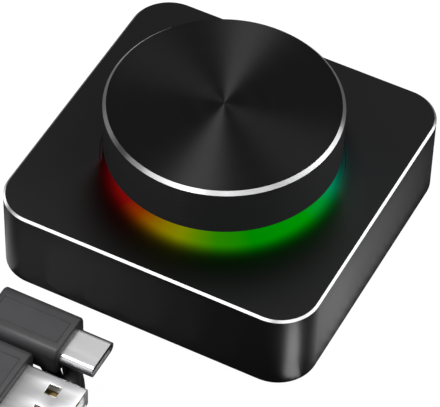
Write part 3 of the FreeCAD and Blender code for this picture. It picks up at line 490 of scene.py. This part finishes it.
def spun_aluminium():
    """Fine turned rings and broader bands, with the tool's direction for the gloss: outward on the top and
    the bevel, and upward on the side."""
    finish = Finish("spun_black", Specular_IOR_Level=0.12, Anisotropic=0.92)
    parts, flat, radius = from_axis(finish.tree, finish.place)
    travel = reckon(finish.tree, "ADD", radius, parts["Z"])
    rings = finish.add("TexNoise", {"noise_dimensions": "1D"}, W=travel, Scale=RINGS_PER_METRE, Detail=3.0)
    bands = finish.add("TexNoise", {"noise_dimensions": "1D"}, W=travel, Scale=BANDS_PER_METRE, Detail=1.0)
    top = mixed(finish, bands.outputs["Fac"], SPUN_TOP_DARK, SPUN_TOP_LIGHT)
    side = mixed(finish, bands.outputs["Fac"], SPUN_SIDE_DARK, SPUN_SIDE_LIGHT)
    on_top = facet_mask(finish, *TOP_AND_BEVEL_SLOPES)
    cut = facet_mask(finish, *BEVEL_SLOPES)
    finish.feed("Base Color", mixed(finish, cut, mixed(finish, on_top, side, top), BRIGHT_BEVEL))
    finish.feed("Metallic", cut)
    spun = between(finish, rings.outputs["Fac"], *SPUN_ROUGH)
    finish.feed("Roughness", finish.add("Mix", i0=cut, i2=spun, i3=BRIGHT_BEVEL_ROUGH).outputs[0])
    relief = finish.add("Bump", Height=rings.outputs["Fac"], Distance=RING_RELIEF, Strength=1.0)
    finish.feed("Normal", relief.outputs["Normal"])
    outward = finish.add("VectorMath", {"operation": "NORMALIZE"}, i0=flat).outputs[0]
    across = finish.add("Mix", {"data_type": "VECTOR"}, i0=on_top, i4=(0, 0, 1), i5=outward).outputs[1]
    to_world = {"vector_type": "VECTOR", "convert_from": "OBJECT", "convert_to": "WORLD"}
    finish.feed("Tangent", finish.add("VectorTransform", to_world, Vector=across).outputs[0])
    finish.paint("knob_cap")


spun_aluminium()
moulded("hub_plastic", (0.018, 0.018, 0.02), (0.03, 0.03, 0.032), (0.45, 0.6)).paint("knob_hub")


# ================================================================ lead: the cable
# A thin black cable with a soft satin jacket, about 0.8 m long. It is wound into a hank of three and a half
# turns that narrows at the middle, where the tie holds it, and its two ends come out of the tie to the
# plugs.

CABLE = 0.0032
# the hank's line: round ends, by degrees about their centres, and a waist between them
HANK_LOW, HANK_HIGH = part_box("cable_hank")
HANK_CENTRE = ((HANK_LOW[0] + HANK_HIGH[0]) / 2, (HANK_LOW[1] + HANK_HIGH[1]) / 2)
END_CENTRE = 0.029
END_RADIUS = 0.0172
LEFT_END = range(120, 241, 24)
RIGHT_END = range(-120, 121, 24)
WAIST = [(0.0105, 0.01035), (0.0035, 0.0090), (-0.0035, 0.0090), (-0.0105, 0.01035)]
TURNS = 3
TURN_SLACK = (0.0008, 0.0, 0.0003, 0.0011)
# how far the strands lie from the middle of their bundle, and how high that middle is
STRAND_REACH = 0.0024
TIED_REACH = 0.00228
TIED_WITHIN = 0.010
BUNDLE_MIDDLE = 0.00345
TIED_MIDDLE = 0.00365
CROSSING_MIDDLE = 0.0042
# where the two ends leave the hank, from its centre, and where they enter their plugs
C_TAIL = [(0.0120, 0.0117, 0.0100), (0.0080, 0.0114, 0.0090), (0.0040, 0.0110, 0.0068)]
A_TAIL = [(0.0010, -0.0068, 0.0062), (0.0050, -0.0047, 0.0081), (0.0090, -0.0026, 0.0091)]
C_EXIT = (-0.03265, -0.0482, 0.01025)
A_EXIT = (-0.0346, -0.062, 0.00935)


def round_end(centre, angles):
    """Middle of the bundle and its outward direction, at steps round one end of the hank."""
    for angle in angles:
        out = (cos(radians(angle)), sin(radians(angle)))
        yield (END_RADIUS * out[0] + centre, END_RADIUS * out[1]), out


def bundle_stations(last_turn):
    """Middle of the bundle, its outward direction, how far the strands have moved round each other, and the
    turn. A turn starts at the waist on the +Y side and goes round the left end, the -Y side and the right
    end."""
    for turn in range(last_turn + 1):
        if turn > 0:
            yield WAIST[0], (0.0, 1.0), turn - 0.5, turn
        for place in WAIST[1:]:
            yield place, (0.0, 1.0), turn, turn
        for place, out in round_end(-END_CENTRE, LEFT_END):
            yield place, out, turn, turn
        for x, y in reversed(WAIST):
            yield (x, -y), (0.0, -1.0), turn, turn
        if turn < last_turn:
            for place, out in round_end(END_CENTRE, RIGHT_END):
                yield place, out, turn, turn


def cable_route():
    """From the small plug through the tie, round the turns and back through the tie to the large plug."""
    centre = Vector((*HANK_CENTRE, 0.0))
    route = [Vector(C_EXIT)] + [centre + Vector(place) for place in C_TAIL]
    for middle, out, moved, turn in bundle_stations(TURNS):
        swing = radians(45 - 90 * moved)
        tied = abs(middle[0]) < TIED_WITHIN
        reach = TIED_REACH if tied else STRAND_REACH
        aside = reach * cos(swing) - (0.0 if tied else TURN_SLACK[turn])
        raised = TIED_MIDDLE if tied else BUNDLE_MIDDLE if moved == turn else CROSSING_MIDDLE
        height = raised + reach * sin(swing)
        route.append(centre + Vector((middle[0] + out[0] * aside, middle[1] + out[1] * aside, height)))
    del route[-2:]
    return route + [centre + Vector(place) for place in A_TAIL] + [Vector(A_EXIT)]


def cable():
    """One smooth line along the route, as thick as the cable."""
    curve = bpy.data.curves.new("cable", "CURVE")
    curve.dimensions = "3D"
    curve.bevel_depth = CABLE / 2
    curve.bevel_resolution = 5
    curve.resolution_u = 6
    curve.use_fill_caps = True
    route = cable_route()
    line = curve.splines.new("NURBS")
    line.points.add(len(route) - 1)
    for point, place in zip(line.points, route):
        point.co = (*place, 1.0)
    line.order_u = 3
    line.use_endpoint_u = True
    piece = bpy.data.objects.new("cable", curve)
    bpy.context.collection.objects.link(piece)
    finish = moulded("cable_jacket", (0.010, 0.010, 0.0105), (0.016, 0.016, 0.017), (0.28, 0.38), 2600.0,
                     0.00001, Specular_IOR_Level=0.5)
    curve.materials.append(finish.material)
    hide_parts("cable_hank", "cable_tail_usb_c", "cable_tail_usb_a")
    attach(piece, "base")
    return piece


cable_piece = cable()


# ================================================================ lead: tie
# Two turns of a thin soft plastic band hold the hank together at its waist. They dip a little between the
# two bundles of cable.

BAND_THICKNESS = 0.0004
BAND_WIDTH = 0.0020
BAND_SPACING = 0.0040
BAND_ROUNDING = 0.0031
BAND_EDGE = 0.00012
BAND_DIPS = [(0.0, 0.0013), (0.0026, 0.0010), (0.0046, 0.0004)]


def block(name, low, high):
    """A box to start a piece from, alone selected, with its place in its mesh."""
    bpy.ops.object.select_all(action="DESELECT")
    middle = [(a + b) / 2 for a, b in zip(low, high)]
    bpy.ops.mesh.primitive_cube_add(size=1.0, location=middle, scale=[b - a for a, b in zip(low, high)])
    bpy.ops.object.transform_apply(location=True, rotation=True, scale=True)
    bpy.context.object.name = name
    return bpy.context.object


def round_long_edges(rounding, segments):
    """In edit mode, round a block's four edges that run along X."""
    choose("EDGE", lambda edge: abs((edge.verts[0].co - edge.verts[1].co).normalized().x) > 0.99)
    bpy.ops.mesh.bevel(offset=rounding, segments=segments, affect="EDGES")


def open_ends():
    """In edit mode, take away a block's two end faces, which leaves a tube."""
    choose("FACE", lambda face: abs(face.normal.x) > 0.99)
    bpy.ops.mesh.delete(type="FACE")


def slice_all(place, direction):
    """In edit mode, cut every face along a plane."""
    bpy.ops.mesh.select_all(action="SELECT")
    bpy.ops.mesh.bisect(plane_co=place, plane_no=direction)


def tie():
    """One band, a flat tube whose upper side is pressed down step by step, and its copy beside it."""
    low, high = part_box("cable_tie")
    middle = (low[1] + high[1]) / 2
    top = 2 * TIED_MIDDLE
    piece = block("hank_tie", (low[0], low[1] - BAND_THICKNESS, 0.0),
                  (low[0] + BAND_WIDTH, high[1] + BAND_THICKNESS, top))
    bpy.ops.object.mode_set(mode="EDIT")
    round_long_edges(BAND_ROUNDING, segments=7)
    open_ends()
    for offset, dip in BAND_DIPS:
        for side in sorted({offset, -offset}):
            slice_all((0.0, middle + side, 0.0), (0.0, 1.0, 0.0))
            choose("EDGE", lambda edge: all(abs(end.co.y - middle - side) < 1e-5 and end.co.z > top / 2
                                            for end in edge.verts))
            bpy.ops.transform.translate(value=(0.0, 0.0, -dip))
    bpy.ops.object.mode_set(mode="OBJECT")
    apply_modifier(piece, "SOLIDIFY", thickness=BAND_THICKNESS, offset=-1.0, use_even_offset=True)
    apply_modifier(piece, "BEVEL", width=BAND_EDGE, segments=2, limit_method="ANGLE")
    bpy.ops.object.duplicate()
    bpy.ops.transform.translate(value=(BAND_SPACING, 0.0, 0.0))
    bpy.ops.object.transform_apply(location=True)
    piece.select_set(True)
    bpy.context.view_layer.objects.active = piece
    bpy.ops.object.join()
    bpy.ops.object.shade_smooth_by_angle(angle=SMOOTH_BELOW)
    finish = moulded("tie_black", (0.012, 0.012, 0.012), (0.02, 0.02, 0.02), (0.5, 0.65))
    piece.data.materials.append(finish.material)
    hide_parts("cable_tie")
    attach(piece, "base")
    return piece


tie_piece = tie()


# ================================================================ lead: plugs
# Each end of the cable is moulded into a black grip with a ribbed, tapering strain relief. A plated steel
# shell stands out of it: folded square with two windows on the large plug, and drawn as a flat tube on the
# small one.

GRIP_ROUNDING = 0.0016
GRIP_RIM = 0.0005
PANEL_MARGIN = 0.0011
PANEL_DEPTH = 0.00022
SEAM_WIDTH = 0.00010
SEAM_DEPTH = 0.00008
GRIP_SMOOTH_BELOW = radians(35)
C_RELIEF = 0.011
A_RELIEF = 0.008
RELIEF_SIDES = 40
RELIEF_START = 0.0029
RELIEF_END = 0.0021
RIB_PITCH = 0.0015
RIB_GAP = 0.0005
RIB_DEPTH = 0.0004
RIB_SLOPE = 0.0001
WINDOW = 0.0024
WINDOW_PITCH = 0.0052
WINDOW_SETBACK = 0.0052
SHELL_WALL = 0.0003
SHELL_ROUNDING = 0.0006
SHELL_EDGE = 0.00006


def relief_profile(length):
    """Distance from the grip and radius, all along the strain relief, with a groove before each rib."""
    def taper(distance):
        return RELIEF_START + (RELIEF_END - RELIEF_START) * distance / length
    yield RIB_SLOPE, RELIEF_START
    groove = RIB_PITCH - RIB_GAP
    while groove + RIB_PITCH < length:
        yield groove, taper(groove)
        yield groove + RIB_SLOPE, taper(groove) - RIB_DEPTH
        yield groove + RIB_GAP, taper(groove) - RIB_DEPTH
        yield groove + RIB_GAP + RIB_SLOPE, taper(groove)
        groove += RIB_PITCH
    yield length - 2 * RIB_SLOPE, RELIEF_END
    yield length, RELIEF_END - RIB_SLOPE


def strain_relief(back, y, z, length):
    """A round bar drawn out of the grip's back, thinner with each rib."""
    bpy.ops.object.select_all(action="DESELECT")
    bpy.ops.mesh.primitive_circle_add(vertices=RELIEF_SIDES, radius=RELIEF_START, fill_type="NGON",
                                      location=(back + GRIP_RIM, y, z), rotation=(0.0, -pi / 2, 0.0))
    bpy.ops.object.transform_apply(location=True, rotation=True, scale=True)
    bpy.ops.object.mode_set(mode="EDIT")
    bpy.ops.mesh.select_all(action="SELECT")
    place, radius = back + GRIP_RIM, RELIEF_START
    for distance, wanted in relief_profile(length):
        step = back - distance - place
        bpy.ops.mesh.extrude_region_move(TRANSFORM_OT_translate={"value": (step, 0.0, 0.0)})
        place += step
        share = wanted / radius
        bpy.ops.transform.resize(value=(1.0, share, share), center_override=(place, y, z))
        radius = wanted
    bpy.ops.mesh.select_all(action="SELECT")
    bpy.ops.mesh.normals_make_consistent(inside=False)
    bpy.ops.object.mode_set(mode="OBJECT")
    return bpy.context.object


def grip(name, node, relief_length, finish):
    """Rounded block with a shallow thumb panel on each flat side, the mould's seam round its middle, and its
    strain relief."""
    low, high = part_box(node)
    back = low[0] + relief_length
    y, z = (low[1] + high[1]) / 2, (low[2] + high[2]) / 2
    relief = strain_relief(back, y, z, relief_length)
    piece = block(name, (back, low[1], low[2]), high)
    bpy.ops.object.mode_set(mode="EDIT")
    round_long_edges(GRIP_ROUNDING, segments=6)
    choose("FACE", lambda face: abs(face.normal.z) > 0.999)
    bpy.ops.mesh.inset(thickness=PANEL_MARGIN)
    bpy.ops.mesh.inset(thickness=PANEL_DEPTH, depth=-PANEL_DEPTH)
    choose("EDGE", lambda edge: any(all(round(end.co.x, 6) == round(rim, 6) for end in edge.verts)
                                    for rim in (back, high[0])))
    bpy.ops.mesh.bevel(offset=GRIP_RIM, segments=3, affect="EDGES")
    for side in (-1, 1):
        slice_all((0.0, 0.0, z + side * SEAM_WIDTH / 2), (0.0, 0.0, 1.0))
    choose("FACE", lambda face: all(abs(corner.co.z - z) < SEAM_WIDTH for corner in face.verts))
    bpy.ops.mesh.inset(thickness=0.0, depth=-SEAM_DEPTH, use_boundary=True)
    bpy.ops.object.mode_set(mode="OBJECT")
    relief.select_set(True)
    bpy.ops.object.join()
    bpy.ops.object.shade_smooth_by_angle(angle=GRIP_SMOOTH_BELOW)
    piece.data.materials.append(finish.material)
    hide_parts(node)
    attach(piece, "base")
    return piece


def folded_shell(finish):
    """Thin steel tube with rounded folds and two square windows above and below."""
    low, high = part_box("usb_a_plug_shell")
    middle = (low[1] + high[1]) / 2
    piece = block("usb_a_shell", low, high)
    bpy.ops.object.mode_set(mode="EDIT")
    round_long_edges(SHELL_ROUNDING, segments=4)
    open_ends()
    window_x = high[0] - WINDOW_SETBACK
    for side in (-1, 1):
        slice_all((window_x + side * WINDOW / 2, 0.0, 0.0), (1.0, 0.0, 0.0))
        for other in (-1, 1):
            slice_all((0.0, middle + side * WINDOW_PITCH / 2 + other * WINDOW / 2, 0.0), (0.0, 1.0, 0.0))
    choose("FACE", lambda face: abs(face.normal.z) > 0.99
           and abs(face.calc_center_median().x - window_x) < WINDOW / 2
           and abs(abs(face.calc_center_median().y - middle) - WINDOW_PITCH / 2) < WINDOW / 2)
    bpy.ops.mesh.delete(type="FACE")
    bpy.ops.object.mode_set(mode="OBJECT")
    apply_modifier(piece, "SOLIDIFY", thickness=SHELL_WALL, offset=-1.0, use_even_offset=True)
    apply_modifier(piece, "BEVEL", width=SHELL_EDGE, segments=2, limit_method="ANGLE",
                   angle_limit=radians(50))
    bpy.ops.object.shade_smooth_by_angle(angle=SMOOTH_BELOW)
    piece.data.materials.append(finish.material)
    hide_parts("usb_a_plug_shell")
    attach(piece, "base")
    return piece


grip_plastic = moulded("plug_plastic", (0.010, 0.010, 0.0105), (0.016, 0.016, 0.017), (0.42, 0.55),
                       Specular_IOR_Level=0.25)
shell_steel = plated("plug_shell", (0.54, 0.54, 0.55), (0.62, 0.62, 0.625), (0.30, 0.36),
                     (20.0, 260.0, 260.0), 0.000001)
shell_steel.paint("usb_c_plug_shell")
moulded("plug_tongue", (0.7, 0.7, 0.68), (0.82, 0.82, 0.8), (0.35, 0.5)).paint("usb_a_plug_tongue")
c_grip = grip("usb_c_grip", "usb_c_plug_body", C_RELIEF, grip_plastic)
a_grip = grip("usb_a_grip", "usb_a_plug_body", A_RELIEF, grip_plastic)
a_shell = folded_shell(shell_steel)


# ================================================================ studio
# A white table under a large softbox, with dimmer panels all round it. Small cards of light at the walls'
# feet, which the camera doesn't see, give each wall its sheen.

FLOOR_SIZE = 6.0
FLOOR_DARK = (0.040, 0.040, 0.040, 1)
FLOOR_LIGHT = (0.050, 0.050, 0.050, 1)
FLOOR_WHITE = 0.96
FILL_STRENGTH = 0.032
WHITE = (1, 1, 1, 1)
# name, place, where it is aimed, width and height, watts
SOFT_LIGHTS = [
    ("softbox_top", (-0.20, -0.02, 1.28), (0, 0, 0), (0.32, 0.32), 19.5),
    ("softbox_top_narrow", (-0.10, -0.02, 1.28), (0, 0, 0), (0.20, 0.20), 1.0),
    ("softbox_back_right", (0.55, 0.64, 1.12), (0, 0, 0), (0.9, 0.9), 12.0),
    ("card_back_left", (-0.38, 0.78, 0.97), (0, 0, 0), (0.8, 0.8), 0.9),
    ("panel_front", (-0.36, -1.05, 0.84), (0, 0, 0.02), (1.1, 0.7), 3.8),
    ("panel_front_right", (0.80, -0.75, 0.85), (0, 0, 0.02), (0.9, 0.8), 3.0),
    ("panel_corner", (1.25, 0.0, 0.61), (0, 0, 0.02), (1.1, 0.5), 2.2),
    ("panel_left", (-1.10, 0.25, 0.50), (0, 0, 0.01), (0.9, 0.5), 0.45),
    ("panel_left_low", (-1.15, -0.10, 0.14), (0, 0, 0.01), (0.6, 0.28), 0.09),
    ("panel_front_left", (-0.83, -0.66, 0.56), (0, 0, 0.02), (0.34, 0.34), 0.24),
    ("panel_right", (1.04, 0.84, 0.41), (0, 0, 0.02), (0.8, 0.6), 2.3),
]
# the same for two small lamps that no surface mirrors
WALL_LAMPS = [
    ("lamp_right_wall", (0.105, -0.012, 0.055), (0.030, -0.010, 0.012), (0.05, 0.03), 0.08),
    ("lamp_left_wall", (-0.03, -0.075, 0.05), (-0.018, -0.036, 0.0), (0.02, 0.02), 0.045),
]
LOOK_DOWN = radians(48.24)
BEAM_SPREAD = radians(50)
CORNER_FOOT = (0.03073, -0.03004)
CORNER_TURN = -24.15
# name, how far out it starts, size, brightness
CORNER_BEAMS = [
    ("beam_corner", 0.0045, (0.0056, 0.0072), 2.9),
    ("beam_corner_low", 0.0004, (0.0042, 0.0041), 2.5),
]
RIGHT_TURN = 63.85
RIGHT_BEAM = (0.0053, 0.0140)
RIGHT_PITCH = 0.003
RIGHT_BEAMS = 20
# place along the wall, brightness
RIGHT_SHEEN = [(-0.032, 0.019), (-0.026, 0.040), (-0.017, 0.057), (-0.011, 0.043), (-0.006, 0.033),
               (0.004, 0.0250), (0.014, 0.0165), (0.026, 0.005)]
FRONT_TURN = -116.15
FRONT_BEAM = (0.0144, 0.0120)
FRONT_BEAMS = [(-0.028, 0.044), (-0.020, 0.096), (-0.012, 0.082), (-0.004, 0.062), (0.004, 0.040),
               (0.012, 0.014)]
LEFT_CARD_PLACE = (-0.0365, -0.0285, 0.0003)
LEFT_CARD_SIZE = (0.016, 0.006)
LEFT_CARD_TURN = -12
LEFT_CARD_BRIGHTNESS = 1.6
EDGE_CARD_PLACE = (-0.0423, -0.0275, 0.0188)
EDGE_CARD_TARGET = (-0.0305, -0.0286, 0.0174)
EDGE_CARD_SIZE = (0.018, 0.011)
EDGE_CARD_WATTS = 0.000075


def floor():
    """A plain floor, which shines white to the camera and is dim to all that mirrors it."""
    bpy.ops.object.select_all(action="DESELECT")
    bpy.ops.mesh.primitive_plane_add(size=FLOOR_SIZE, location=(0, 0, 0))
    piece = bpy.context.object
    piece.name = "floor"
    finish = Finish("floor_paper", Specular_IOR_Level=0.1, Emission_Color=WHITE)
    fibres = finish.add("TexNoise", Vector=finish.place, Scale=900.0, Detail=4.0).outputs["Fac"]
    finish.feed("Base Color", mixed(finish, fibres, FLOOR_DARK, FLOOR_LIGHT))
    seen = finish.add("LightPath").outputs["Is Camera Ray"]
    finish.feed("Emission Strength", reckon(finish.tree, "MULTIPLY", seen, FLOOR_WHITE))
    finish.feed("Roughness", between(finish, fibres, 0.75, 0.9))
    piece.data.materials.append(finish.material)


def soft_light(name, place, target, size, watts):
    """A rectangular light that shines from a place towards another."""
    lamp = bpy.data.lights.new(name, "AREA")
    lamp.shape = "RECTANGLE"
    lamp.size, lamp.size_y = size
    lamp.energy = watts
    holder = bpy.data.objects.new(name, lamp)
    holder.location = place
    holder.rotation_euler = (Vector(target) - Vector(place)).to_track_quat("-Z", "Y").to_euler()
    bpy.context.collection.objects.link(holder)
    return holder


def card(name, place, target, size, brightness):
    """A small light that the camera doesn't see. A larger one is as bright, with more watts."""
    holder = soft_light(name, place, target, size, brightness * pi * size[0] * size[1])
    holder.visible_camera = False
    return holder


def beam_card(name, foot, degrees_turned, start, size, brightness):
    """A card that leans out from a wall's foot and shines at that stretch of wall only, in a narrow beam."""
    out = Vector((cos(radians(degrees_turned)), sin(radians(degrees_turned)), 0.0))
    up = Vector((0.0, 0.0, 1.0))
    along = start + size[1] / 2
    place = Vector((*foot, 0.0)) + along * (out * sin(LOOK_DOWN) + up * cos(LOOK_DOWN))
    aim = place - out * cos(LOOK_DOWN) + up * sin(LOOK_DOWN)
    card(name, place, aim, size, brightness).data.spread = BEAM_SPREAD


def right_sheen(y):
    """How bright the right wall's sheen is at a place along it."""
    for (start, first), (end, last) in zip(RIGHT_SHEEN, RIGHT_SHEEN[1:]):
        if y < end:
            return first + (last - first) * (y - start) / (end - start)


floor()
for soft_row in SOFT_LIGHTS:
    soft_light(*soft_row)
for lamp_row in WALL_LAMPS:
    wall_lamp = soft_light(*lamp_row)
    wall_lamp.visible_camera = False
    wall_lamp.visible_glossy = False
for name, start, size, brightness in CORNER_BEAMS:
    beam_card(name, CORNER_FOOT, CORNER_TURN, start, size, brightness)
for number in range(RIGHT_BEAMS):
    y = RIGHT_SHEEN[0][0] + number * RIGHT_PITCH
    beam_card(f"beam_right_{number + 1}", (HOUSING_HIGH[0], y), RIGHT_TURN, 0.0, RIGHT_BEAM,
              right_sheen(y))
left_card = card("card_left", LEFT_CARD_PLACE, (*LEFT_CARD_PLACE[:2], 1.0), LEFT_CARD_SIZE,
                 LEFT_CARD_BRIGHTNESS)
left_card.rotation_euler = (pi, 0.0, radians(LEFT_CARD_TURN))
edge_card = soft_light("card_left_edge", EDGE_CARD_PLACE, EDGE_CARD_TARGET, EDGE_CARD_SIZE,
                       EDGE_CARD_WATTS)
edge_card.data.spread = BEAM_SPREAD
edge_card.visible_camera = False
for number, (x, brightness) in enumerate(FRONT_BEAMS, 1):
    beam_card(f"beam_front_{number}", (x, HOUSING_LOW[1]), FRONT_TURN, 0.0, FRONT_BEAM, brightness)

world = bpy.data.worlds.new("studio")
world.use_nodes = True
world.node_tree.nodes["Background"].inputs["Color"].default_value = WHITE
world.node_tree.nodes["Background"].inputs["Strength"].default_value = FILL_STRENGTH
bpy.context.scene.world = world
bpy.context.scene.view_settings.view_transform = "Standard"


# ================================================================ camera
# A long lens, a little over half a metre away, that looks down on the housing's front corner. It is tipped
# a little to one side.

AZIMUTH = radians(26.147)
ELEVATION = radians(48.239)
ROLL = radians(1.830)
LOOKS_AT = (-0.001651, 0.002858, 0.0006)
CAMERA_DISTANCE = 0.583287
SENSOR_WIDTH = 36.0
FOCAL_LENGTH = 249.267
NEAREST_SEEN = 0.01


def camera():
    """The camera, turned by hand, because its roll leaves no upright to track."""
    back = Vector((sin(AZIMUTH) * cos(ELEVATION), -cos(AZIMUTH) * cos(ELEVATION), sin(ELEVATION)))
    level = Vector((cos(AZIMUTH), sin(AZIMUTH), 0))
    upright = back.cross(level)
    right = level * cos(ROLL) + upright * sin(ROLL)
    up = upright * cos(ROLL) - level * sin(ROLL)
    lens = bpy.data.cameras.new("camera")
    lens.sensor_width = SENSOR_WIDTH
    lens.lens = FOCAL_LENGTH
    lens.clip_start = NEAREST_SEEN
    holder = bpy.data.objects.new("camera", lens)
    place = Vector(LOOKS_AT) + back * CAMERA_DISTANCE
    turn = Matrix((right, up, back)).transposed().to_4x4()
    holder.matrix_world = Matrix.Translation(place) @ turn
    bpy.context.collection.objects.link(holder)
    bpy.context.scene.camera = holder


camera()
